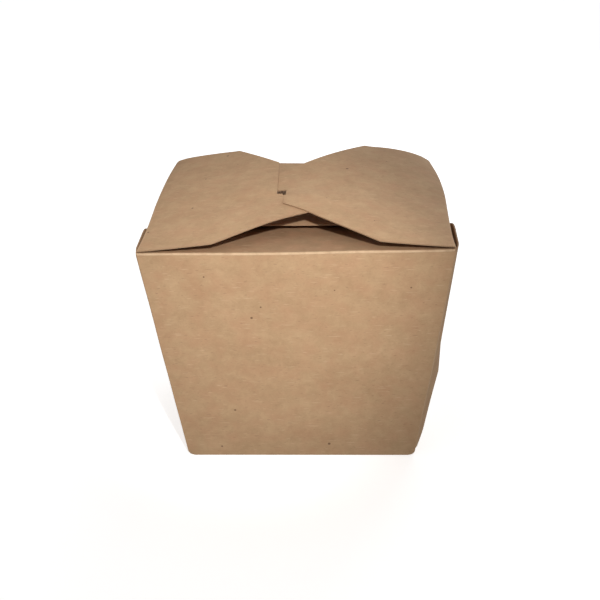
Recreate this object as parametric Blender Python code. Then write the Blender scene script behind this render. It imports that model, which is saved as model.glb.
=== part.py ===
"""A shut noodle takeaway box, folded from one blank of kraft board.

Four walls flare up from a flat base with rounded corners. A folded web beside each corner lies along the
side wall and springs away from it. The closing flap of the back wall lies over that of the front wall, and
two lock flaps rise from the side walls as a low roof and hook into each other over the middle.
The box is shut and can't be seen into, so its inside is solid and the whole box is one body.

Lengths are in metres, +Z is up, the front faces -Y, and the origin is the middle of the base.
"""

import bmesh
import bpy
from math import radians, sqrt, tan, tanh
from mathutils import Vector

# Driving dimensions of the folded box.
MOUTH_WIDTH = 0.109
MOUTH_DEPTH = 0.094
MOUTH_HEIGHT = 0.0925
BASE_WIDTH = 0.089
BASE_DEPTH = 0.074
BOARD = 0.0005
BASE_CORNER = 0.003
FOLD_RADIUS = 0.0007

# The lock: where it sits, how high the roof is there, and how far the flaps' free edges are set in.
LOCK_X = -0.0063
LOCK_Y = -0.0095
LOCK_HEIGHT_FRONT = 0.0070
LOCK_HEIGHT_BACK = 0.0084
RIDGE_REACH = 0.012
RIDGE_ROUNDING = 0.0006
EDGE_INSET = 0.0008
LAYER_LIFT = 0.00018
LAYER_REACH = 0.022
LAYER_TURN = 0.003

# Each lock flap: the heights of its shoulders above the mouth, its tip, which lies on top, and its hook,
# which is tucked under the other flap. Points are (x, y).
LEFT_FLAP = {
    "side": -1,
    "shoulder_x": 0.0290,
    "shoulder_height_front": 0.0035,
    "shoulder_height_back": 0.0049,
    "tip_y": 0.0260,
    "tip_x": -0.0082,
    "hook_x": 0.0100,
    "hook_y": -0.0235,
    "slot_y": -0.0120,
}
RIGHT_FLAP = {
    "side": 1,
    "shoulder_x": 0.0290,
    "shoulder_height_front": 0.0034,
    "shoulder_height_back": 0.0069,
    "tip_y": -0.0179,
    "tip_x": -0.0044,
    "hook_x": -0.0200,
    "hook_y": 0.0130,
    "slot_y": -0.0070,
}

# The back wall's closing flap, which reaches forward over the front wall's.
CLOSING_EDGE_Y = -0.0247
CLOSING_HALF_WIDTH = 0.0500
CLOSING_HALF_WIDTH_FREE = 0.0340
CLOSING_CORNER = 0.0060
CLOSING_SINK = 0.0001

# The folded webs on the side walls: two layers of board that leave the base corner at WEB_ANGLE.
WEB_ANGLE = radians(38.8)
WEB_THICKNESS = 2.2 * BOARD
WEB_WIDTH_LOW = 0.0220
WEB_WIDTH_RIM = 0.0260
WEB_STAND_OFF_LOW = {"left_front": 0.0030, "right_front": 0.0052, "left_back": 0.0030, "right_back": 0.0036}
WEB_STAND_OFF_RIM = {"left_front": 0.0012, "right_front": 0.0012, "left_back": 0.0006, "right_back": 0.0006}
WEB_BOW = 0.8
WEB_START_HEIGHT = 0.0035
WEB_RIM_GAP = 0.0006
WEB_ROOT = 0.0006

GRID_STEP = 0.0065
MERGE_DISTANCE = 0.00001
KRAFT_COLOUR = (0.489, 0.288, 0.167, 1.0)
KRAFT_ROUGHNESS = 0.85

half_width = MOUTH_WIDTH / 2
half_depth = MOUTH_DEPTH / 2


def clear_scene():
    for old in list(bpy.data.objects):
        bpy.data.objects.remove(old)


def new_collection(name):
    collection = bpy.data.collections.new(name)
    bpy.context.scene.collection.children.link(collection)
    return collection


def new_object(name, mesh, collection):
    made = bpy.data.objects.new(name, mesh)
    collection.objects.link(made)
    return made


def kraft_board():
    """Uncoated brown board, matt."""
    material = bpy.data.materials.new("kraft_board")
    material.use_nodes = True
    shader = material.node_tree.nodes["Principled BSDF"]
    shader.inputs["Base Color"].default_value = KRAFT_COLOUR
    shader.inputs["Roughness"].default_value = KRAFT_ROUGHNESS
    shader.inputs["Metallic"].default_value = 0.0
    return material


def flare(height):
    """How far each wall has leant out at this height, from the base."""
    share = height / MOUTH_HEIGHT
    return Vector(((MOUTH_WIDTH - BASE_WIDTH) / 2 * share, (MOUTH_DEPTH - BASE_DEPTH) / 2 * share))


def flared_box(collection):
    """The walls, the base and the filled inside: a cube spread at the top, with soft folds."""
    bm = bmesh.new()
    bmesh.ops.create_cube(bm, size=1.0)
    for vert in bm.verts:
        at_mouth = vert.co.z > 0
        width = MOUTH_WIDTH if at_mouth else BASE_WIDTH
        depth = MOUTH_DEPTH if at_mouth else BASE_DEPTH
        vert.co = Vector((width * vert.co.x, depth * vert.co.y, MOUTH_HEIGHT if at_mouth else 0.0))
    base_corners = [vert for vert in bm.verts if vert.co.z == 0.0]
    bmesh.ops.bevel(bm, geom=base_corners, affect="VERTICES", offset=BASE_CORNER, segments=4, profile=0.5)
    folds = [edge for edge in bm.edges if edge.calc_length() > BASE_DEPTH / 2]
    bmesh.ops.bevel(bm, geom=folds, affect="EDGES", offset=FOLD_RADIUS, segments=2, profile=0.5)
    mesh = bpy.data.meshes.new("flared_box")
    bm.to_mesh(mesh)
    bm.free()
    return new_object("flared_box", mesh, collection)


def board_plate(name, outline, thickness, collection):
    """A flat plate with this outline, cut along a grid so that it can be bent afterwards."""
    curve = bpy.data.curves.new(name, "CURVE")
    curve.dimensions = "2D"
    curve.fill_mode = "BOTH"
    curve.extrude = thickness / 2
    spline = curve.splines.new("POLY")
    spline.points.add(len(outline) - 1)
    for point, (x, y) in zip(spline.points, outline):
        point.co = (x, y, 0.0, 1.0)
    spline.use_cyclic_u = True
    flat = new_object(name + "_outline", curve, collection)
    mesh = bpy.data.meshes.new_from_object(flat.evaluated_get(bpy.context.evaluated_depsgraph_get()))
    bpy.data.objects.remove(flat)
    bm = bmesh.new()
    bm.from_mesh(mesh)
    bmesh.ops.remove_doubles(bm, verts=bm.verts, dist=MERGE_DISTANCE)
    for axis in (0, 1):
        low = min(point[axis] for point in outline)
        high = max(point[axis] for point in outline)
        cuts = int((high - low) / GRID_STEP)
        normal = Vector((1, 0, 0)) if axis == 0 else Vector((0, 1, 0))
        for index in range(1, cuts + 1):
            place = normal * (low + (high - low) * index / (cuts + 1))
            everything = bm.verts[:] + bm.edges[:] + bm.faces[:]
            bmesh.ops.bisect_plane(bm, geom=everything, plane_co=place, plane_no=normal, dist=MERGE_DISTANCE)
    bm.to_mesh(mesh)
    bm.free()
    return new_object(name, mesh, collection)


def bend(plate, place):
    """Moves each vertex of a flat plate to place(vertex)."""
    for vert in plate.data.vertices:
        vert.co = place(vert.co)
    plate.data.update()


def flap_on(x):
    return LEFT_FLAP if x < LOCK_X else RIGHT_FLAP


def roof_height(x, y):
    """Height of the bowed lock flaps above the mouth."""
    flap = flap_on(x)
    reach = half_width + flap["side"] * -LOCK_X
    along = (half_width - flap["side"] * x) / reach
    shoulder = (half_width - flap["shoulder_x"]) / reach
    back = y / MOUTH_DEPTH + 0.5
    rise_front = flap["shoulder_height_front"]
    rise = rise_front + (flap["shoulder_height_back"] - rise_front) * back
    top = LOCK_HEIGHT_FRONT + (LOCK_HEIGHT_BACK - LOCK_HEIGHT_FRONT) * back
    bow = (rise - top * shoulder) / (shoulder * (1 - shoulder))
    ridge = max(0.0, 1 - abs(x - LOCK_X) / RIDGE_REACH)
    return top * along + bow * along * (1 - along) - RIDGE_ROUNDING * ridge**2


def layer_shift(flap, x, y):
    """Lifts a flap's tip over the other flap, and lowers its hook under it, close to the lock only."""
    distance = sqrt((x - LOCK_X) ** 2 + (y - LOCK_Y) ** 2)
    nearness = max(0.0, 1 - (distance / LAYER_REACH) ** 2)
    return -flap["side"] * LAYER_LIFT * tanh((y - LOCK_Y) / LAYER_TURN) * nearness


def lock_flap(name, flap, collection):
    """A flap with sloping shoulders, whose end is a tip on one side of a slot and a hook on the other."""
    side = flap["side"]
    hinge = side * (half_width - FOLD_RADIUS / 2)
    shoulder = side * flap["shoulder_x"]
    edge = half_depth - EDGE_INSET
    outline = [
        (hinge, side * edge),
        (shoulder, side * edge),
        (flap["hook_x"], flap["hook_y"]),
        (flap["hook_x"], flap["slot_y"]),
        (flap["tip_x"], flap["slot_y"]),
        (flap["tip_x"], flap["tip_y"]),
        (shoulder, -side * edge),
        (hinge, -side * edge),
    ]
    plate = board_plate(name, outline, BOARD, collection)
    bend(
        plate,
        lambda co: Vector(
            (co.x, co.y, MOUTH_HEIGHT - BOARD / 2 + co.z + roof_height(co.x, co.y) + layer_shift(flap, co.x, co.y))
        ),
    )
    return plate


def closing_flap(collection):
    """The back wall's flap, a trapezium with cut corners that lies on the shut mouth."""
    outline = [
        (-CLOSING_HALF_WIDTH, half_depth - FOLD_RADIUS),
        (-CLOSING_HALF_WIDTH_FREE - CLOSING_CORNER / 2, CLOSING_EDGE_Y + CLOSING_CORNER),
        (-CLOSING_HALF_WIDTH_FREE + CLOSING_CORNER, CLOSING_EDGE_Y),
        (CLOSING_HALF_WIDTH_FREE - CLOSING_CORNER, CLOSING_EDGE_Y),
        (CLOSING_HALF_WIDTH_FREE + CLOSING_CORNER / 2, CLOSING_EDGE_Y + CLOSING_CORNER),
        (CLOSING_HALF_WIDTH, half_depth - FOLD_RADIUS),
    ]
    plate = board_plate("closing_flap", outline, BOARD, collection)
    plate.location.z = MOUTH_HEIGHT + BOARD / 2 - CLOSING_SINK
    return plate


def web_width(height):
    """Width of a folded web at this height: a triangle below, then nearly even up to the rim."""
    corner_height = WEB_WIDTH_LOW / tan(WEB_ANGLE)
    if height < corner_height:
        return height * tan(WEB_ANGLE)
    share = (height - corner_height) / (MOUTH_HEIGHT - corner_height)
    return WEB_WIDTH_LOW + (WEB_WIDTH_RIM - WEB_WIDTH_LOW) * share


def web_stand_off(corner, height):
    """How far this corner's web has sprung from the wall at its free edge, at this height."""
    corner_height = WEB_WIDTH_LOW / tan(WEB_ANGLE)
    low = WEB_STAND_OFF_LOW[corner]
    if height < corner_height:
        return low * height / corner_height
    share = (height - corner_height) / (MOUTH_HEIGHT - corner_height)
    return low + (WEB_STAND_OFF_RIM[corner] - low) * share


def corner_web(side_x, side_y, collection):
    """A web beside one upright fold, drawn flat as (distance from the fold, height), then laid on the wall."""
    corner_height = WEB_WIDTH_LOW / tan(WEB_ANGLE)
    rim = MOUTH_HEIGHT - WEB_RIM_GAP
    outline = [
        (-WEB_ROOT, WEB_START_HEIGHT),
        (web_width(WEB_START_HEIGHT), WEB_START_HEIGHT),
        (WEB_WIDTH_LOW, corner_height),
        (web_width(rim), rim),
        (-WEB_ROOT, rim),
    ]
    corner = ("right" if side_x > 0 else "left") + ("_back" if side_y > 0 else "_front")
    plate = board_plate("web_" + corner, outline, WEB_THICKNESS, collection)

    def place(co):
        lean = flare(co.y)
        share = max(0.0, co.x) / web_width(co.y)
        out = co.z + WEB_THICKNESS / 2 * share + web_stand_off(corner, co.y) * share**WEB_BOW
        root = max(0.0, -co.x / WEB_ROOT) * WEB_ROOT
        x = BASE_WIDTH / 2 + lean.x + out - root
        y = BASE_DEPTH / 2 + lean.y - co.x - 2 * root
        return Vector((side_x * x, side_y * y, co.y))

    bend(plate, place)
    if side_x * side_y > 0:
        plate.data.flip_normals()
    return plate


def join_all(body, parts):
    """One union of the body with everything in the parts' collection, applied."""
    union = body.modifiers.new("union", "BOOLEAN")
    union.operation = "UNION"
    union.operand_type = "COLLECTION"
    union.collection = parts
    union.solver = "EXACT"
    mesh = bpy.data.meshes.new_from_object(body.evaluated_get(bpy.context.evaluated_depsgraph_get()))
    body.modifiers.clear()
    body.data = mesh
    for part in list(parts.objects):
        bpy.data.objects.remove(part)
    bpy.data.collections.remove(parts)


def build():
    clear_scene()
    box = new_collection("noodle_takeaway_box")
    parts = new_collection("folded_parts")
    body = flared_box(box)
    body.name = "noodle_box"
    closing_flap(parts)
    lock_flap("lock_flap_left", LEFT_FLAP, parts)
    lock_flap("lock_flap_right", RIGHT_FLAP, parts)
    for side_x in (-1, 1):
        for side_y in (-1, 1):
            corner_web(side_x, side_y, parts)
    join_all(body, parts)
    body.data.name = "noodle_box"
    body.data.materials.clear()
    body.data.materials.append(kraft_board())


build()
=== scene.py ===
"""The looks of a shut noodle takeaway box of plain kraft board.

The walls and base are one shell. The four flaps are drawn flat, as they are cut from the blank, then folded
over the rim. The four corner webs are two layers of board, folded back along the side walls. At the end all
of them take the same slight bulge and rack.

Lengths are in metres, +Z is up, the front faces -Y, and the origin is the middle of the base.
"""

from math import cos, pi, radians, sin, sqrt, tan, tanh

import bmesh
import bpy
from mathutils import Matrix, Vector, noise


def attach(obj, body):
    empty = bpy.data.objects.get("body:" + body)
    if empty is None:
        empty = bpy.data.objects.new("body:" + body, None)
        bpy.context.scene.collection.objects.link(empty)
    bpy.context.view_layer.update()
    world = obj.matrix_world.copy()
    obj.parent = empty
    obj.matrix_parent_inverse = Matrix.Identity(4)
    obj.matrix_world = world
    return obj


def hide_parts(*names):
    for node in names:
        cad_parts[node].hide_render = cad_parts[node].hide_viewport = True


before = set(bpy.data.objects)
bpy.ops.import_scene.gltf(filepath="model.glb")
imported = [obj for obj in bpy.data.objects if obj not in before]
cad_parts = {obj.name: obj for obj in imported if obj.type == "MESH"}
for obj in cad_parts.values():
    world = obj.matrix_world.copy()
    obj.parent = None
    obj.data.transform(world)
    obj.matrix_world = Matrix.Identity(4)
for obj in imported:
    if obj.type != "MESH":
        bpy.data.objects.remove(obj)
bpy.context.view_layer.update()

# The folded box: the mouth and the base as their planes meet, and the folds between them.
MOUTH_WIDTH = 0.109
MOUTH_DEPTH = 0.094
MOUTH_HEIGHT = 0.0925
BASE_WIDTH = 0.089
BASE_DEPTH = 0.074
BOARD = 0.00045
FOLD_RADIUS = 0.0006
FOLD_STEPS = 6
BASE_CORNER = 0.0030
GRID = 0.0025
MERGE_DISTANCE = 0.000001
SHARP_ANGLE = radians(38)
NODE = "noodle_box"
BODY = "root"

half_width = MOUTH_WIDTH / 2
half_depth = MOUTH_DEPTH / 2
lean_x = (MOUTH_WIDTH - BASE_WIDTH) / 2 / MOUTH_HEIGHT
lean_y = (MOUTH_DEPTH - BASE_DEPTH) / 2 / MOUTH_HEIGHT
lean_cos = 1 / sqrt(1 + lean_x**2)
lean_sin = lean_x * lean_cos
fold_middle = FOLD_RADIUS - BOARD / 2
fold_centre = FOLD_RADIUS * (1 + lean_sin) / lean_cos
fold_length = fold_middle * (pi / 2 + lean_x)
wall_top = MOUTH_HEIGHT - FOLD_RADIUS * (1 + lean_sin)

# The lock: where it sits, how high the lid rises there, and how the flaps pass over and under each other.
LOCK_X = -0.0063
LOCK_Y = -0.0084
LOCK_HEIGHT_FRONT = 0.0070
LOCK_HEIGHT_BACK = 0.0084
RIDGE_REACH = 0.012
RIDGE_ROUNDING = 0.0006
SHOULDER_X = 0.0290
HINGE_LIFT = 0.0009
EDGE_INSET = 0.0008
LAYER_LIFT = 0.00030
LAYER_REACH = 0.018
LAYER_FADE = 0.012
LAYER_LEAST = 0.35
LAYER_TURN = 0.0020
CUT_CORNER = 0.0004

# Each lock flap: its shoulders, how it crowns at the back near its hinge, its tip, which lies on top, and
# its hook, which goes under the other flap. The slot between them runs in from the flap's end, with a step.
LEFT_FLAP = {
    "side": -1,
    "shoulder_height_front": 0.0035,
    "shoulder_height_back": 0.0050,
    "crown": 0.0036,
    "hook_shoulder_x": 0.0284,
    "hook": (0.0100, -0.0222),
    "slot": [(0.0100, -0.0102), (-0.0058, -0.0102), (-0.0058, -0.0090), (-0.0079, -0.0090)],
    "tip": (-0.0088, 0.0254),
    "tip_shoulder_x": 0.0272,
}
RIGHT_FLAP = {
    "side": 1,
    "shoulder_height_front": 0.0034,
    "shoulder_height_back": 0.0077,
    "crown": 0.0072,
    "hook_shoulder_x": 0.0260,
    "hook": (-0.0170, 0.0050),
    "slot": [(-0.0170, -0.0049), (-0.0046, -0.0049), (-0.0046, -0.0108), (-0.0052, -0.0120)],
    "tip": (-0.0052, -0.0190),
    "tip_shoulder_x": 0.0288,
}

# The closing flaps: how far each reaches from its fold, and how far it has sunk there and with what curve.
CLOSING_HALF_WIDTH_FREE = 0.0380
CLOSING_SHOULDER = 0.0004
CLOSING_CORNER = 0.0060
BACK_FLAP = {"side": 1, "reach": 0.0666, "sag": 0.0009, "curve": 1.0}
FRONT_FLAP = {"side": -1, "reach": 0.0380, "sag": 0.0050, "curve": 1.2}

# The folded webs: the angle at which they leave the base corner, their widths, and how far each has sprung
# from its side wall at its lower corner and at the rim.
WEB_ANGLE = radians(38.8)
WEB_WIDTH_LOW = 0.0220
WEB_START = 0.0030
WEB_LAYER_PITCH = 1.15
WEB_ROOT = 0.0006
WEB_ROOT_LENGTH = 0.0075
WEB_BOW = 0.8
WEB_ROUNDING_POWER = 10.0
WEB_ARCH_POWER = 4.0
WEB_INNER_DROP = 0.0016
WEB_CUTS = (21, 2, 50)
WEB_FOLD_POINTS = 24
WEB_FOLD_SIDES = 16

# Each web: its side and end, how far it stands off the wall at its lower corner and at the rim, how far its
# outer layer arches away from the inner one at the rim, how far it ends below the rim, how much of its upper
# corner is rounded off, and how wide it is at the rim.
WEB_INPUTS = ("Side X", "Side Y", "Spring Low", "Spring Rim", "Parting", "Rim Gap", "Rounding", "Width Rim")
WEBS = {
    "left_front": (-1, -1, 0.0028, 0.0006, 0.0002, 0.0008, 0.0015, 0.0270),
    "right_front": (1, -1, 0.0060, 0.0000, 0.0010, 0.0008, 0.0015, 0.0300),
    "left_back": (-1, 1, 0.0028, -0.0002, 0.0002, 0.0048, 0.0020, 0.0260),
    "right_back": (1, 1, 0.0034, -0.0002, 0.0003, 0.0048, 0.0020, 0.0260),
}

# How the folded box has settled: walls that bulge towards the rim, the side walls mostly towards the back,
# front corners that the webs' thickness has spread, a rim that has racked, and uneven board.
BULGE_LEFT = 0.0011
BULGE_RIGHT = 0.0019
BULGE_FRONT = 0.0008
BULGE_BACK = -0.0009
BULGE_POWER = 1.2
BULGE_SKEW = 0.9
SPREAD_LEFT = 0.0005
SPREAD_RIGHT = 0.0006
SPREAD_POWER = 4
RACK_TWIST = -0.00058
RACK_TILT = -0.00027
RACK_SHIFT = 0.00025
WAVE_HEIGHT = 0.00022
WAVE_LENGTH = 0.024
WAVE_GROWTH = 4
WAVE_SEED = 5

# How worn the folds are, and over what width that fades; the front crease's stronger paler line is also a
# painted highlight. Each panel's pattern is read this far from the next one's.
WEAR_AND_HIGHLIGHT_FRONT = 0.75
WEAR_ELSEWHERE = 0.22
WEAR_ROLLED = 0.35
WEAR_WIDTH = 0.0004
PANEL_PITCH = 0.3

# The board's colours, and its fibres: length and width in mm, turn, the noise level at which one begins to
# show and is full, its strength and its colour.
DARK_PULP = "#94704D"
PALE_PULP = "#DCB890"
# Darker board of the front closing flap: painted shade of its recess under the lock flaps, and some stain.
DARK_SHADED_STAINED = "#7E5C3F"
PALE_SHADED_STAINED = "#BE9C78"
RED_PULP = "#BE8C6B"
WORN_PULP = "#DABB97"
PALE_FIBRE = "#E3C4A2"
DARK_FIBRE = "#7E5A41"
BARK = "#573B28"
CUT_DARK = "#86674D"
CUT_PALE = "#B89878"
FIBRES = (
    (7.0, 0.50, 0.05, 0.68, 0.78, 0.40, PALE_FIBRE),
    (3.5, 0.45, 1.30, 0.68, 0.77, 0.35, PALE_FIBRE),
    (2.4, 0.55, -0.50, 0.68, 0.77, 0.34, DARK_FIBRE),
    (2.0, 0.50, 0.90, 0.69, 0.78, 0.32, DARK_FIBRE),
)


def linear(code):
    """An sRGB hex colour as linear red, green, blue and alpha."""
    parts = [int(code[start : start + 2], 16) / 255 for start in (1, 3, 5)]
    return tuple(p / 12.92 if p <= 0.04045 else ((p + 0.055) / 1.055) ** 2.4 for p in parts) + (1.0,)


def add(tree, kind, values=None, **settings):
    """Adds a node with its settings and its inputs' values or links, and gives its first output."""
    node = tree.nodes.new(kind)
    for name, value in settings.items():
        setattr(node, name, value)
    for key, value in (values or {}).items():
        if isinstance(key, int):
            socket = node.inputs[key]
        else:
            socket = next(s for s in node.inputs if s.enabled and s.name == key)
        if isinstance(value, bpy.types.NodeSocket):
            tree.links.new(value, socket)
        else:
            socket.default_value = value
    return next((s for s in node.outputs if s.enabled), node)


def per_mm(length):
    """The scale of a texture whose feature is this many millimetres long, on a map in metres."""
    return 1000.0 / length


def kraft_board(name, dark_pulp, pale_pulp):
    """Uncoated kraft board, rolled from brown pulp: matt, softly clouded, with fibres and specks of bark."""
    material = bpy.data.materials.new(name)
    material.use_nodes = True
    tree = material.node_tree
    shader = tree.nodes["Principled BSDF"]
    blank = add(tree, "ShaderNodeUVMap", uv_map="blank")

    # Pulp clouds of some 14 mm, a ragged mottle of some 4 mm and a grain of under a millimetre set the tone,
    # and the pulp is a little redder in some patches.
    cloud = add(
        tree,
        "ShaderNodeTexNoise",
        {"Vector": blank, "Scale": per_mm(14.0), "Detail": 3.0, "Roughness": 0.6},
    )
    mottle = add(
        tree,
        "ShaderNodeTexNoise",
        {"Vector": blank, "Scale": per_mm(4.0), "Detail": 5.0, "Roughness": 0.65, "Distortion": 0.6},
    )
    grain = add(
        tree,
        "ShaderNodeTexNoise",
        {"Vector": blank, "Scale": per_mm(0.8), "Detail": 3.0, "Roughness": 0.6},
    )
    tone = 0.0
    for pattern, weight in ((cloud, 0.40), (mottle, 0.42), (grain, 0.18)):
        tone = add(tree, "ShaderNodeMath", {0: pattern, 1: weight, 2: tone}, operation="MULTIPLY_ADD")
    colour = add(
        tree,
        "ShaderNodeMix",
        {"Factor": tone, "A": linear(dark_pulp), "B": linear(pale_pulp)},
        data_type="RGBA",
    )
    patch = add(tree, "ShaderNodeTexNoise", {"Vector": blank, "Scale": per_mm(7.5), "Detail": 2.0})
    redder = add(
        tree,
        "ShaderNodeMapRange",
        {"Value": patch, "From Min": 0.4, "From Max": 0.75, "To Max": 0.38},
    )
    overlays = [(redder, RED_PULP)]

    # Few fibres show: pale ones up to 7 mm long, mostly along the rolling direction, and short dark ones.
    for length, width, turn, low, high, strength, shade in FIBRES:
        laid = add(
            tree,
            "ShaderNodeMapping",
            {"Vector": blank, "Rotation": (0.0, 0.0, turn), "Scale": (per_mm(length), per_mm(width), 1.0)},
        )
        fibre = add(
            tree,
            "ShaderNodeTexNoise",
            {"Vector": laid, "Scale": 1.0, "Detail": 1.0, "Roughness": 0.4},
        )
        shown = add(
            tree,
            "ShaderNodeMapRange",
            {"Value": fibre, "From Min": low, "From Max": high, "To Max": strength},
        )
        overlays.append((shown, shade))

    # Specks of bark, up to 1 mm across and fewer than one to the square centimetre.
    speck = add(tree, "ShaderNodeTexVoronoi", {"Vector": blank, "Scale": per_mm(6.0)})
    chosen = add(
        tree,
        "ShaderNodeMapRange",
        {"Value": speck.node.outputs["Color"], "From Min": 0.56, "From Max": 0.86, "To Max": 0.10},
    )
    inside = add(tree, "ShaderNodeMath", {0: chosen, 1: speck}, operation="SUBTRACT")
    dark = add(tree, "ShaderNodeMapRange", {"Value": inside, "From Max": 0.02, "To Max": 0.7})
    overlays.append((dark, BARK))

    # Along a fold the surface cracks a little and shows paler pulp; on the front crease this paler line is
    # also a painted highlight.
    wear = add(tree, "ShaderNodeAttribute", attribute_name="wear").node.outputs["Fac"]
    broken = add(
        tree,
        "ShaderNodeMapRange",
        {"Value": mottle, "From Min": 0.3, "From Max": 0.6, "To Min": 0.55},
    )
    worn = add(tree, "ShaderNodeMath", {0: wear, 1: broken}, operation="MULTIPLY")
    overlays.append((worn, WORN_PULP))
    for amount, shade in overlays:
        colour = add(
            tree,
            "ShaderNodeMix",
            {"Factor": amount, "A": colour, "B": linear(shade)},
            data_type="RGBA",
        )

    # The mottle and the grain are felt as a faint relief, too.
    relief = add(tree, "ShaderNodeMath", {0: mottle, 1: 0.7, 2: grain}, operation="MULTIPLY_ADD")
    bump = add(tree, "ShaderNodeBump", {"Strength": 0.35, "Distance": 0.00006, "Height": relief})
    tree.links.new(colour, shader.inputs["Base Color"])
    tree.links.new(bump, shader.inputs["Normal"])
    shader.inputs["Roughness"].default_value = 0.86
    shader.inputs["Specular IOR Level"].default_value = 0.35
    return material


def cut_board():
    """The same board where a knife has cut it: duller, with its plies as a fine grain along the edge."""
    material = bpy.data.materials.new("kraft_board_cut_edge")
    material.use_nodes = True
    tree = material.node_tree
    shader = tree.nodes["Principled BSDF"]
    place = add(tree, "ShaderNodeTexCoord").node.outputs["Object"]
    plies = add(tree, "ShaderNodeTexNoise", {"Vector": place, "Scale": per_mm(0.25), "Detail": 2.0})
    colour = add(
        tree,
        "ShaderNodeMix",
        {"Factor": plies, "A": linear(CUT_DARK), "B": linear(CUT_PALE)},
        data_type="RGBA",
    )
    tree.links.new(colour, shader.inputs["Base Color"])
    shader.inputs["Roughness"].default_value = 0.92
    shader.inputs["Specular IOR Level"].default_value = 0.25
    return material


def new_piece(name, mesh, *materials):
    piece = bpy.data.objects.new(name, mesh)
    bpy.context.scene.collection.objects.link(piece)
    mesh.materials.clear()
    for material in materials:
        mesh.materials.append(material)
    return piece


def apply_modifiers(piece):
    """Turns a piece's modifiers into its plain mesh."""
    graph = bpy.context.evaluated_depsgraph_get()
    mesh = bpy.data.meshes.new_from_object(piece.evaluated_get(graph))
    piece.modifiers.clear()
    piece.data = mesh


def thicken(piece, offset):
    """Gives a folded sheet the board's thickness, with its cut edges in the second material."""
    wall = piece.modifiers.new("board", "SOLIDIFY")
    wall.thickness = BOARD
    wall.offset = offset
    wall.use_even_offset = True
    wall.material_offset_rim = 1
    apply_modifiers(piece)


def settled(place):
    """Where a point of the ideal folded box has gone: bulged walls, a racked rim and uneven board."""
    share = max(0.0, place.z / MOUTH_HEIGHT)
    across = place.x / (BASE_WIDTH / 2 + lean_x * place.z)
    along = place.y / (BASE_DEPTH / 2 + lean_y * place.z)
    rise = min(1.0, share) ** BULGE_POWER
    side_bulge = BULGE_LEFT if across < 0 else BULGE_RIGHT
    end_bulge = BULGE_FRONT if along < 0 else BULGE_BACK
    side = across * side_bulge * rise * max(0.0, cos(pi / 2 * along)) * (1 + BULGE_SKEW * along)
    end = along * end_bulge * rise * max(0.0, cos(pi / 2 * across))
    spread = SPREAD_LEFT if across < 0 else SPREAD_RIGHT
    side += across * spread * min(1.0, share) * max(0.0, -along) ** SPREAD_POWER
    rack = (RACK_TWIST * across * along + RACK_TILT * across) * share
    shift = RACK_SHIFT * (1 + along) * share
    wave = noise.noise_vector(place / WAVE_LENGTH) * WAVE_HEIGHT * min(1.0, share * WAVE_GROWTH)
    return place + Vector((side + shift, end, rack)) + wave


def finish(piece):
    """Settles a piece, smooths its folds but not its cut edges, and ties it to the frame."""
    for vert in piece.data.vertices:
        vert.co = settled(vert.co)
    piece.data.shade_smooth()
    piece.data.set_sharp_from_angle(angle=SHARP_ANGLE)
    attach(piece, BODY)
    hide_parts(NODE)
    return piece


def cut_along(bm, normal, place):
    everything = bm.verts[:] + bm.edges[:] + bm.faces[:]
    bmesh.ops.bisect_plane(bm, geom=everything, plane_co=place, plane_no=normal, dist=MERGE_DISTANCE)


def cut_grid(bm, low, high, step):
    """Cuts everything into cells of about this size."""
    for axis in range(3):
        count = int((high[axis] - low[axis]) / step)
        normal = Vector([float(axis == other) for other in range(3)])
        for index in range(1, count + 1):
            cut_along(bm, normal, normal * (low[axis] + (high[axis] - low[axis]) * index / (count + 1)))


def wall_distances(place):
    """How far inside each wall's plane, the base and the rim a point lies."""
    side = (BASE_WIDTH / 2 + lean_x * place.z - abs(place.x)) * lean_cos
    end = (BASE_DEPTH / 2 + lean_y * place.z - abs(place.y)) * lean_cos
    return sorted((side, end, place.z, MOUTH_HEIGHT - place.z))


def panel_map(face, place):
    """Where a point of a wall lies on the blank: across and up its own panel, apart from the others."""
    lead = max(range(3), key=lambda axis: abs(face.normal[axis]))
    if lead == 2:
        return (place.x, place.y)
    offset = PANEL_PITCH * (1 + 2 * lead + (face.normal[lead] > 0))
    return (place[1 - lead] + offset, place.z)


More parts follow.
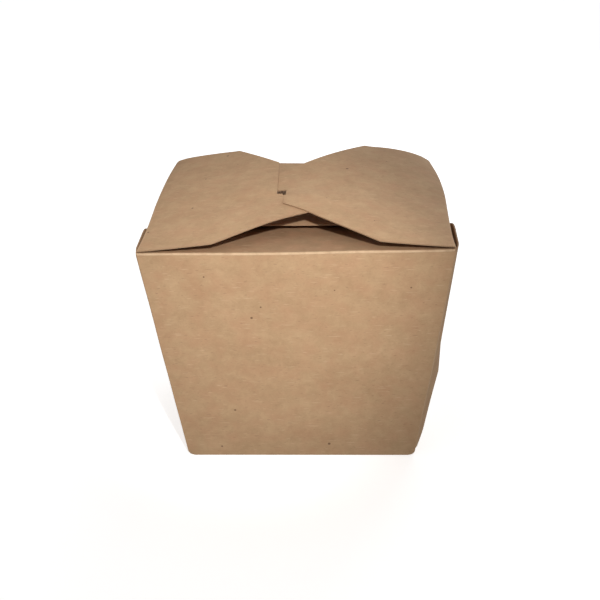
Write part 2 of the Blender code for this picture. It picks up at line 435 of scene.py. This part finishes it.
def carton_walls(board, cut):
    """The four walls and the base: a cube spread at the top, with soft folds, opened at the mouth."""
    bm = bmesh.new()
    bmesh.ops.create_cube(bm, size=1.0)
    for vert in bm.verts:
        height = wall_top if vert.co.z > 0 else 0.0
        width = BASE_WIDTH + 2 * lean_x * height
        depth = BASE_DEPTH + 2 * lean_y * height
        vert.co = Vector((width * vert.co.x, depth * vert.co.y, height))
    base_corners = [vert for vert in bm.verts if vert.co.z == 0.0]
    bmesh.ops.bevel(bm, geom=base_corners, affect="VERTICES", offset=BASE_CORNER, segments=6, profile=0.5)
    top = [face for face in bm.faces if face.normal.z > 0.9]
    bmesh.ops.delete(bm, geom=top, context="FACES_ONLY")
    folds = [edge for edge in bm.edges if edge.calc_length() > BASE_DEPTH / 2 and not edge.is_boundary]
    bmesh.ops.bevel(bm, geom=folds, affect="EDGES", offset=FOLD_RADIUS, segments=5, profile=0.5)
    low = Vector((-half_width, -half_depth, 0.0))
    high = Vector((half_width, half_depth, wall_top))
    cut_grid(bm, low, high, GRID)
    for sign in (-1, 1):
        for distance in (1.0, 2.0):
            inset = WEAR_WIDTH * distance
            cut_along(bm, Vector((sign, 0, -lean_x)), Vector((sign * (BASE_WIDTH / 2 - inset), 0, 0)))
            cut_along(bm, Vector((0, sign, -lean_y)), Vector((0, sign * (BASE_DEPTH / 2 - inset), 0)))
    for distance in (1.0, 2.0):
        cut_along(bm, Vector((0, 0, 1)), Vector((0, 0, WEAR_WIDTH * distance)))
    bm.normal_update()
    blank = bm.loops.layers.uv.new("blank")
    wear = bm.verts.layers.float.new("wear")
    for face in bm.faces:
        for loop in face.loops:
            loop[blank].uv = panel_map(face, loop.vert.co)
    for vert in bm.verts:
        vert[wear] = WEAR_ELSEWHERE * max(0.0, 1 - max(0.0, wall_distances(vert.co)[1]) / WEAR_WIDTH)
    mesh = bpy.data.meshes.new("carton_walls")
    bm.to_mesh(mesh)
    bm.free()
    piece = new_piece("carton_walls", mesh, board, cut)
    thicken(piece, -1.0)
    return finish(piece)


def eased(points, radius):
    """The outline with each corner eased over this distance."""
    out = []
    for index, (x, y) in enumerate(points):
        here = Vector((x, y))
        before = Vector(points[index - 1])
        after = Vector(points[(index + 1) % len(points)])
        start = here + (before - here).normalized() * min(radius, (before - here).length / 3)
        end = here + (after - here).normalized() * min(radius, (after - here).length / 3)
        for share in (0.0, 0.33, 0.67, 1.0):
            out.append(start.lerp(here, share).lerp(here.lerp(end, share), share))
    return out


def folded_flap(name, outline, fold, fold_axis, worn, place, board, cut):
    """A flap drawn flat and cut into cells, then folded.

    place(x, y) gives the middle of the board's thickness. Past the line at fold along fold_axis the board
    runs round the rim's fold, which is this much worn, and then straight down the wall.
    """
    bm = bmesh.new()
    face = bm.faces.new([bm.verts.new((x, y, 0.0)) for x, y in outline])
    face.normal_update()
    bmesh.ops.triangulate(bm, faces=[face])
    xs = [point[0] for point in outline]
    ys = [point[1] for point in outline]
    cut_grid(bm, (min(xs), min(ys), 0.0), (max(xs), max(ys), 0.0), GRID)
    normal = Vector((1, 0, 0)) if fold_axis == 0 else Vector((0, 1, 0))
    sign = 1 if fold > 0 else -1
    for step in range(FOLD_STEPS + 1):
        cut_along(bm, normal, normal * (fold + sign * fold_length * step / FOLD_STEPS))
    for distance in (0.5, 1.0, 2.0):
        cut_along(bm, normal, normal * (fold - sign * WEAR_WIDTH * distance))
    bm.normal_update()
    for face in bm.faces:
        if face.normal.z < 0:
            face.normal_flip()
    blank = bm.loops.layers.uv.new("blank")
    wear = bm.verts.layers.float.new("wear")
    for face in bm.faces:
        for loop in face.loops:
            loop[blank].uv = (loop.vert.co.x, loop.vert.co.y - PANEL_PITCH)
    for vert in bm.verts:
        past = (vert.co[fold_axis] - fold) * sign
        vert[wear] = worn * min(1.0, max(0.0, 1 + past / WEAR_WIDTH))
        if past <= 0:
            vert.co = place(vert.co.x, vert.co.y)
            continue
        angle = min(past, fold_length) / fold_middle
        straight = max(0.0, past - fold_length)
        flat = list(vert.co)
        flat[fold_axis] = fold
        out = Vector((0.0, 0.0, (cos(angle) - 1) * fold_middle - lean_cos * straight))
        out[fold_axis] = sign * (sin(angle) * fold_middle - lean_sin * straight)
        vert.co = place(flat[0], flat[1]) + out
    mesh = bpy.data.meshes.new(name)
    bm.to_mesh(mesh)
    bm.free()
    piece = new_piece(name, mesh, board, cut)
    thicken(piece, 0.0)
    return finish(piece)


def lid_height(x, y):
    """Height above the mouth's plane of the bowed lock flaps."""
    flap = LEFT_FLAP if x < LOCK_X else RIGHT_FLAP
    hinge = half_width - fold_centre
    reach = hinge + flap["side"] * -LOCK_X
    along = (hinge - flap["side"] * x) / reach
    shoulder = (hinge - SHOULDER_X) / reach
    back = y / MOUTH_DEPTH + 0.5
    rise_front = flap["shoulder_height_front"]
    rise = rise_front + (flap["shoulder_height_back"] - rise_front) * back
    top = LOCK_HEIGHT_FRONT + (LOCK_HEIGHT_BACK - LOCK_HEIGHT_FRONT) * back
    lift = HINGE_LIFT * (1 - back)
    bow = (rise - lift * (1 - shoulder) - top * shoulder) / (shoulder * (1 - shoulder))
    ridge = max(0.0, 1 - abs(x - LOCK_X) / RIDGE_REACH)
    near_hinge = min(1.0, max(0.0, along / shoulder))
    crown = flap["crown"] * back**2 * (sqrt(near_hinge) - near_hinge)
    return lift * (1 - along) + top * along + bow * along * (1 - along) + crown - RIDGE_ROUNDING * ridge**2


def layer_shift(flap, x, y):
    """Lifts a flap's tip clear over the other flap, and lowers its hook clear under it."""
    distance = sqrt((x - LOCK_X) ** 2 + (y - LOCK_Y) ** 2)
    nearness = min(1.0, max(LAYER_LEAST, 1 - (distance - LAYER_REACH) / LAYER_FADE))
    return -flap["side"] * LAYER_LIFT * tanh((y - LOCK_Y) / LAYER_TURN) * nearness


def lock_flap(name, flap, board, cut):
    """A flap with sloping shoulders, whose end is a tip on one side of a slot and a hook on the other."""
    side = flap["side"]
    fold = side * (half_width - fold_centre)
    hem = fold + side * (fold_length + HINGE_LIFT)
    edge = half_depth - EDGE_INSET
    cut_end = [
        (side * flap["hook_shoulder_x"], side * edge),
        flap["hook"],
        *flap["slot"],
        flap["tip"],
        (side * flap["tip_shoulder_x"], -side * edge),
    ]
    outline = eased(cut_end + [(hem, -side * edge), (hem, side * edge)], CUT_CORNER)

    def place(x, y):
        height = MOUTH_HEIGHT - BOARD / 2 + lid_height(x, y) + layer_shift(flap, x, y)
        return Vector((x, y, height))

    return folded_flap(name, outline, fold, 0, WEAR_ELSEWHERE, place, board, cut)


def closing_flap(name, flap, worn, board, cut):
    """A flap that lies in the mouth, from the front wall (side -1) or the back wall (side 1)."""
    side = flap["side"]
    fold = side * (half_depth - fold_centre)
    hem = fold + side * fold_length
    edge = fold - side * flap["reach"]
    wide = half_width - CLOSING_SHOULDER
    narrow = CLOSING_HALF_WIDTH_FREE
    shaped = [
        (-wide, hem),
        (-wide, fold - side * CLOSING_SHOULDER),
        (-narrow - CLOSING_CORNER / 2, edge + side * CLOSING_CORNER),
        (-narrow + CLOSING_CORNER, edge),
        (narrow - CLOSING_CORNER, edge),
        (narrow + CLOSING_CORNER / 2, edge + side * CLOSING_CORNER),
        (wide, fold - side * CLOSING_SHOULDER),
        (wide, hem),
    ]
    outline = eased(shaped, CUT_CORNER)

    def place(x, y):
        share = max(0.0, (fold - y) * side / flap["reach"])
        return Vector((x, y, MOUTH_HEIGHT - BOARD / 2 - flap["sag"] * share ** flap["curve"]))

    return folded_flap(name, outline, fold, 1, worn, place, board, cut)


def web_tree(board, cut):
    """Geometry nodes of one folded web: two layers of board from a corner fold, joined along the slant.

    Each layer starts as a grid of cells in a unit cube: across the web, through the board, and up.
    """
    tree = bpy.data.node_groups.new("folded_web", "GeometryNodeTree")
    tree.interface.new_socket("Web", in_out="OUTPUT", socket_type="NodeSocketGeometry")
    sizes = {}
    for name, value in (
        ("Side X", 1.0),
        ("Side Y", 1.0),
        ("Spring Low", 0.003),
        ("Spring Rim", 0.0),
        ("Parting", 0.0003),
        ("Rim Gap", 0.0006),
        ("Rounding", 0.003),
        ("Board", BOARD),
        ("Layer Pitch", WEB_LAYER_PITCH),
        ("Start Height", WEB_START),
        ("Corner Height", WEB_WIDTH_LOW / tan(WEB_ANGLE)),
        ("Mouth Height", MOUTH_HEIGHT),
        ("Width Low", WEB_WIDTH_LOW),
        ("Width Rim", 0.026),
        ("Base Half Width", BASE_WIDTH / 2),
        ("Base Half Depth", BASE_DEPTH / 2),
        ("Lean", lean_x),
    ):
        socket = tree.interface.new_socket(name, in_out="INPUT", socket_type="NodeSocketFloat")
        socket.default_value = value
        sizes[name] = socket.identifier
    given = add(tree, "NodeGroupInput").node.outputs
    out = tree.nodes.new("NodeGroupOutput")

    # Two grids, one a layer pitch further through the web, and the line of the slanted fold between them.
    layer = add(tree, "GeometryNodeMeshCube", dict(zip(("Vertices X", "Vertices Y", "Vertices Z"), WEB_CUTS)))
    inner = add(tree, "GeometryNodeTransform", {"Geometry": layer, "Translation": (0.5, 0.5, 0.5)})
    shift = add(tree, "ShaderNodeCombineXYZ", {"Y": given["Layer Pitch"]})
    outer = add(tree, "GeometryNodeTransform", {"Geometry": inner, "Translation": shift})
    layers = add(tree, "GeometryNodeJoinGeometry")
    tree.links.new(inner, layers.node.inputs[0])
    tree.links.new(outer, layers.node.inputs[0])
    cell = add(tree, "ShaderNodeSeparateXYZ", {0: add(tree, "GeometryNodeInputPosition")}).node.outputs
    side_cut = add(tree, "ShaderNodeMath", {0: cell["X"], 1: 0.999}, operation="GREATER_THAN")
    top_cut = add(tree, "ShaderNodeMath", {0: cell["Z"], 1: 0.999}, operation="GREATER_THAN")
    cut_faces = add(tree, "ShaderNodeMath", {0: side_cut, 1: top_cut}, operation="MAXIMUM")
    layers = add(
        tree,
        "GeometryNodeStoreNamedAttribute",
        {"Geometry": layers, "Name": "cut", "Value": cut_faces},
        data_type="FLOAT",
        domain="FACE",
    )
    rim_height = add(
        tree, "ShaderNodeMath", {0: given["Mouth Height"], 1: given["Rim Gap"]}, operation="SUBTRACT"
    )
    rim_span = add(tree, "ShaderNodeMath", {0: rim_height, 1: given["Start Height"]}, operation="SUBTRACT")
    corner_span = add(
        tree, "ShaderNodeMath", {0: given["Corner Height"], 1: given["Start Height"]}, operation="SUBTRACT"
    )
    free_span = add(tree, "ShaderNodeMath", {0: rim_span, 1: given["Rounding"]}, operation="SUBTRACT")
    corner_share = add(tree, "ShaderNodeMath", {0: corner_span, 1: free_span}, operation="DIVIDE")
    middle = add(
        tree, "ShaderNodeMath", {0: given["Layer Pitch"], 1: 0.5, 2: 0.5}, operation="MULTIPLY_ADD"
    )
    slant = add(
        tree,
        "GeometryNodeCurvePrimitiveLine",
        {
            "Start": add(tree, "ShaderNodeCombineXYZ", {"X": 1.0, "Y": middle}),
            "End": add(tree, "ShaderNodeCombineXYZ", {"X": 1.0, "Y": middle, "Z": corner_share}),
        },
    )
    slant = add(tree, "GeometryNodeResampleCurve", {"Curve": slant, "Count": WEB_FOLD_POINTS})

    # The same rule places the layers and the fold: width and spring grow up to the corner, then change
    # evenly. The top edge drops away towards the free end, and the inner layer's a little more.
    near_end = add(tree, "ShaderNodeMath", {0: cell["X"], 1: WEB_ROUNDING_POWER}, operation="POWER")
    is_inner = add(tree, "ShaderNodeMath", {0: cell["Y"], 1: middle}, operation="LESS_THAN")
    near_top = add(tree, "ShaderNodeMath", {0: cell["Z"], 1: WEB_ARCH_POWER}, operation="POWER")
    lowered = add(tree, "ShaderNodeMath", {0: is_inner, 1: near_top}, operation="MULTIPLY")
    lowered = add(tree, "ShaderNodeMath", {0: lowered, 1: WEB_INNER_DROP}, operation="MULTIPLY")
    dropped = add(
        tree, "ShaderNodeMath", {0: near_end, 1: given["Rounding"], 2: lowered}, operation="MULTIPLY_ADD"
    )
    span = add(tree, "ShaderNodeMath", {0: rim_span, 1: dropped}, operation="SUBTRACT")
    height = add(
        tree, "ShaderNodeMath", {0: cell["Z"], 1: span, 2: given["Start Height"]}, operation="MULTIPLY_ADD"
    )
    above = add(
        tree,
        "ShaderNodeMapRange",
        {"Value": height, "From Min": given["Corner Height"], "From Max": rim_height},
    )
    grown = {}
    for name, low, rim in (
        ("width", given["Width Low"], given["Width Rim"]),
        ("spring", given["Spring Low"], given["Spring Rim"]),
    ):
        below = add(
            tree,
            "ShaderNodeMapRange",
            {"Value": height, "From Max": given["Corner Height"], "To Max": low},
        )
        change = add(tree, "ShaderNodeMath", {0: rim, 1: low}, operation="SUBTRACT")
        grown[name] = add(tree, "ShaderNodeMath", {0: above, 1: change, 2: below}, operation="MULTIPLY_ADD")
    across = add(
        tree,
        "ShaderNodeMapRange",
        {"Value": cell["X"], "To Min": WEB_ROOT, "To Max": grown["width"]},
    )
    bowed = add(tree, "ShaderNodeMath", {0: cell["X"], 1: WEB_BOW}, operation="POWER")
    spring = add(tree, "ShaderNodeMath", {0: grown["spring"], 1: bowed}, operation="MULTIPLY")

    # The outer layer arches away from the inner one towards the rim, and meets it again at both ends.
    from_middle = add(tree, "ShaderNodeMath", {0: cell["X"], 1: 2.0, 2: -1.0}, operation="MULTIPLY_ADD")
    from_middle = add(tree, "ShaderNodeMath", {0: from_middle}, operation="ABSOLUTE")
    from_middle = add(tree, "ShaderNodeMath", {0: from_middle, 1: WEB_ARCH_POWER}, operation="POWER")
    arch = add(tree, "ShaderNodeMath", {0: 1.0, 1: from_middle}, operation="SUBTRACT")
    arch = add(tree, "ShaderNodeMath", {0: arch, 1: above}, operation="MULTIPLY")
    is_outer = add(tree, "ShaderNodeMath", {0: cell["Y"], 1: middle}, operation="GREATER_THAN")
    arch = add(tree, "ShaderNodeMath", {0: arch, 1: is_outer}, operation="MULTIPLY")
    spring = add(tree, "ShaderNodeMath", {0: arch, 1: given["Parting"], 2: spring}, operation="MULTIPLY_ADD")
    stack = add(tree, "ShaderNodeMath", {0: given["Layer Pitch"], 1: 1.0}, operation="ADD")
    sunk = add(tree, "ShaderNodeMath", {0: stack, 1: -1.0}, operation="MULTIPLY")
    root = add(
        tree,
        "ShaderNodeMapRange",
        {"Value": across, "From Max": WEB_ROOT_LENGTH, "To Min": sunk, "To Max": 0.0},
        interpolation_type="SMOOTHSTEP",
    )
    through = add(tree, "ShaderNodeMath", {0: cell["Y"], 1: root}, operation="ADD")
    stand_off = add(
        tree, "ShaderNodeMath", {0: through, 1: given["Board"], 2: spring}, operation="MULTIPLY_ADD"
    )
    wall_x = add(
        tree,
        "ShaderNodeMath",
        {0: height, 1: given["Lean"], 2: given["Base Half Width"]},
        operation="MULTIPLY_ADD",
    )
    wall_y = add(
        tree,
        "ShaderNodeMath",
        {0: height, 1: given["Lean"], 2: given["Base Half Depth"]},
        operation="MULTIPLY_ADD",
    )
    x = add(tree, "ShaderNodeMath", {0: wall_x, 1: stand_off}, operation="ADD")
    y = add(tree, "ShaderNodeMath", {0: wall_y, 1: across}, operation="SUBTRACT")
    place = add(
        tree,
        "ShaderNodeCombineXYZ",
        {
            "X": add(tree, "ShaderNodeMath", {0: x, 1: given["Side X"]}, operation="MULTIPLY"),
            "Y": add(tree, "ShaderNodeMath", {0: y, 1: given["Side Y"]}, operation="MULTIPLY"),
            "Z": height,
        },
    )

    # Each layer keeps its place on the blank, and wear fades away from the corner fold.
    flat = add(tree, "ShaderNodeCombineXYZ", {"X": across, "Y": height})
    flat = add(
        tree,
        "ShaderNodeVectorMath",
        {0: flat, 1: add(tree, "ShaderNodeCombineXYZ", {"X": given["Side X"], "Y": given["Side Y"]})},
        operation="ADD",
    )
    layers = add(
        tree,
        "GeometryNodeStoreNamedAttribute",
        {"Geometry": layers, "Name": "blank", "Value": flat},
        data_type="FLOAT2",
        domain="CORNER",
    )
    fading = add(
        tree,
        "ShaderNodeMapRange",
        {"Value": across, "From Min": WEB_ROOT, "From Max": 2 * WEAR_WIDTH, "To Min": 1.0, "To Max": 0.0},
    )
    layers = add(
        tree,
        "GeometryNodeStoreNamedAttribute",
        {"Geometry": layers, "Name": "wear", "Value": fading},
        data_type="FLOAT",
        domain="POINT",
    )
    layers = add(tree, "GeometryNodeSetPosition", {"Geometry": layers, "Position": place})
    slant = add(tree, "GeometryNodeSetPosition", {"Geometry": slant, "Position": place})
    fold_radius = add(tree, "ShaderNodeMath", {0: middle, 1: given["Board"]}, operation="MULTIPLY")
    fold_round = add(
        tree,
        "GeometryNodeCurvePrimitiveCircle",
        {"Resolution": WEB_FOLD_SIDES, "Radius": fold_radius},
    )
    rolled = add(
        tree,
        "GeometryNodeCurveToMesh",
        {"Curve": slant, "Profile Curve": fold_round, "Fill Caps": True},
    )
    rolled = add(
        tree,
        "GeometryNodeStoreNamedAttribute",
        {"Geometry": rolled, "Name": "wear", "Value": WEAR_ROLLED},
        data_type="FLOAT",
        domain="POINT",
    )
    mirrored = add(tree, "ShaderNodeMath", {0: given["Side X"], 1: given["Side Y"]}, operation="MULTIPLY")
    mirrored = add(tree, "ShaderNodeMath", {0: mirrored, 1: 0.0}, operation="GREATER_THAN")
    layers = add(tree, "GeometryNodeFlipFaces", {"Mesh": layers, "Selection": mirrored})
    web = add(tree, "GeometryNodeJoinGeometry")
    tree.links.new(layers, web.node.inputs[0])
    tree.links.new(rolled, web.node.inputs[0])
    web = add(tree, "GeometryNodeRealizeInstances", {"Geometry": web})
    web = add(tree, "GeometryNodeSetMaterial", {"Geometry": web, "Material": board})
    is_cut = add(tree, "GeometryNodeInputNamedAttribute", {"Name": "cut"}, data_type="FLOAT")
    web = add(tree, "GeometryNodeSetMaterial", {"Geometry": web, "Selection": is_cut, "Material": cut})
    tree.links.new(web, out.inputs[0])
    return tree, sizes


def corner_web(name, values, tree, sizes):
    """One corner's web, made by the geometry nodes and turned into a plain mesh."""
    piece = new_piece("corner_web_" + name, bpy.data.meshes.new("corner_web_" + name))
    folding = piece.modifiers.new("folding", "NODES")
    folding.node_group = tree
    for key, value in zip(WEB_INPUTS, values):
        folding[sizes[key]] = float(value)
    apply_modifiers(piece)
    return finish(piece)


# The studio: a lit white table in a white tent, an even soft surround, a snooted lamp high in front and a
# weak one behind.
FLOOR_RADIUS = 6.0
FLOOR_SIDES = 96
TENT_HEIGHT = 5.0
WHITE_GLOW = 0.62
SURROUND_STRENGTH = 0.43
FRONT_TOP = Vector((-0.009, -0.047, 0.083))
KEY_PLACE = Vector((0.060, -0.357, 0.325))
KEY_WATTS = 6.3
KEY_SNOOT = {"spot_size": radians(23), "spot_blend": 1.0, "shadow_soft_size": 0.010}
LID_MIDDLE = Vector((0.0, 0.0, 0.10))
RIM_PLACE = Vector((0.20, 0.60, 0.30))
RIM_WATTS = 1.3
RIM_PANEL = {"shape": "SQUARE", "size": 0.4}

# The photo's camera: a point, how far it is turned round and looks down, and a slight tilt.
LENS = 56.88
CLIP_START = 0.01
CAMERA_PLACE = Vector((0.01387, -0.34273, 0.22541))
CAMERA_AZIMUTH = radians(2.408)
CAMERA_ELEVATION = radians(27.088)
CAMERA_ROLL = radians(-1.399)


def studio_camera():
    data = bpy.data.cameras.new("camera")
    data.lens = LENS
    data.clip_start = CLIP_START
    camera = bpy.data.objects.new("camera", data)
    bpy.context.scene.collection.objects.link(camera)
    turned = Matrix.Rotation(CAMERA_AZIMUTH, 4, "Z") @ Matrix.Rotation(pi / 2 - CAMERA_ELEVATION, 4, "X")
    camera.matrix_world = Matrix.Translation(CAMERA_PLACE) @ turned @ Matrix.Rotation(CAMERA_ROLL, 4, "Z")
    bpy.context.scene.camera = camera


def lamp(name, kind, place, aim, watts, settings):
    """A lamp of this kind at a place, turned to its aim."""
    data = bpy.data.lights.new(name, kind)
    data.energy = watts
    for key, value in settings.items():
        setattr(data, key, value)
    light = bpy.data.objects.new(name, data)
    bpy.context.scene.collection.objects.link(light)
    turned = (aim - place).to_track_quat("-Z", "Y").to_matrix().to_4x4()
    light.matrix_world = Matrix.Translation(place) @ turned


def studio():
    bm = bmesh.new()
    bmesh.ops.create_circle(bm, cap_ends=True, segments=FLOOR_SIDES, radius=FLOOR_RADIUS)
    mesh = bpy.data.meshes.new("floor")
    bm.to_mesh(mesh)
    bm.free()
    white = bpy.data.materials.new("painted_white_table")
    white.use_nodes = True
    shader = white.node_tree.nodes["Principled BSDF"]
    shader.inputs["Base Color"].default_value = linear("#F4F4F4")
    shader.inputs["Roughness"].default_value = 0.9
    shader.inputs["Emission Color"].default_value = linear("#FFFFFF")
    shader.inputs["Emission Strength"].default_value = WHITE_GLOW
    floor = new_piece("floor", mesh, white)

    # The tent's white wall stands at the floor's edge, for views from low down, and lets the light through.
    bm = bmesh.new()
    bmesh.ops.create_cone(
        bm,
        cap_ends=False,
        segments=FLOOR_SIDES,
        radius1=FLOOR_RADIUS,
        radius2=FLOOR_RADIUS,
        depth=TENT_HEIGHT,
    )
    bmesh.ops.translate(bm, verts=bm.verts, vec=(0, 0, TENT_HEIGHT / 2))
    mesh = bpy.data.meshes.new("tent")
    bm.to_mesh(mesh)
    bm.free()
    tent = new_piece("tent", mesh, white)
    tent.visible_shadow = False
    for part in (floor, tent):
        part.visible_diffuse = False
        part.visible_glossy = False
    world = bpy.data.worlds.new("studio")
    world.use_nodes = True
    surround = world.node_tree.nodes["Background"]
    surround.inputs["Color"].default_value = linear("#FFFFFF")
    surround.inputs["Strength"].default_value = SURROUND_STRENGTH
    bpy.context.scene.world = world
    bpy.context.scene.view_settings.view_transform = "Standard"
    lamp("key", "SPOT", KEY_PLACE, FRONT_TOP, KEY_WATTS, KEY_SNOOT)
    lamp("rim", "AREA", RIM_PLACE, LID_MIDDLE, RIM_WATTS, RIM_PANEL)


def build():
    # Without a seed of its own the noise takes one from the clock, and the waves differ in each run.
    noise.seed_set(WAVE_SEED)
    board = kraft_board("kraft_board_uncoated", DARK_PULP, PALE_PULP)
    cut = cut_board()

    # The front closing flap's board is darker: painted shade of its recess under the lock flaps, and some
    # stain from the food.
    shade_stain_board = kraft_board("kraft_board_shade_and_stain", DARK_SHADED_STAINED, PALE_SHADED_STAINED)
    carton_walls(board, cut)
    closing_flap("closing_flap_front", FRONT_FLAP, WEAR_AND_HIGHLIGHT_FRONT, shade_stain_board, cut)
    closing_flap("closing_flap_back", BACK_FLAP, WEAR_ELSEWHERE, board, cut)
    lock_flap("lock_flap_left", LEFT_FLAP, board, cut)
    lock_flap("lock_flap_right", RIGHT_FLAP, board, cut)
    tree, sizes = web_tree(board, cut)
    for name, values in WEBS.items():
        corner_web(name, values, tree, sizes)
    studio()
    studio_camera()


build()
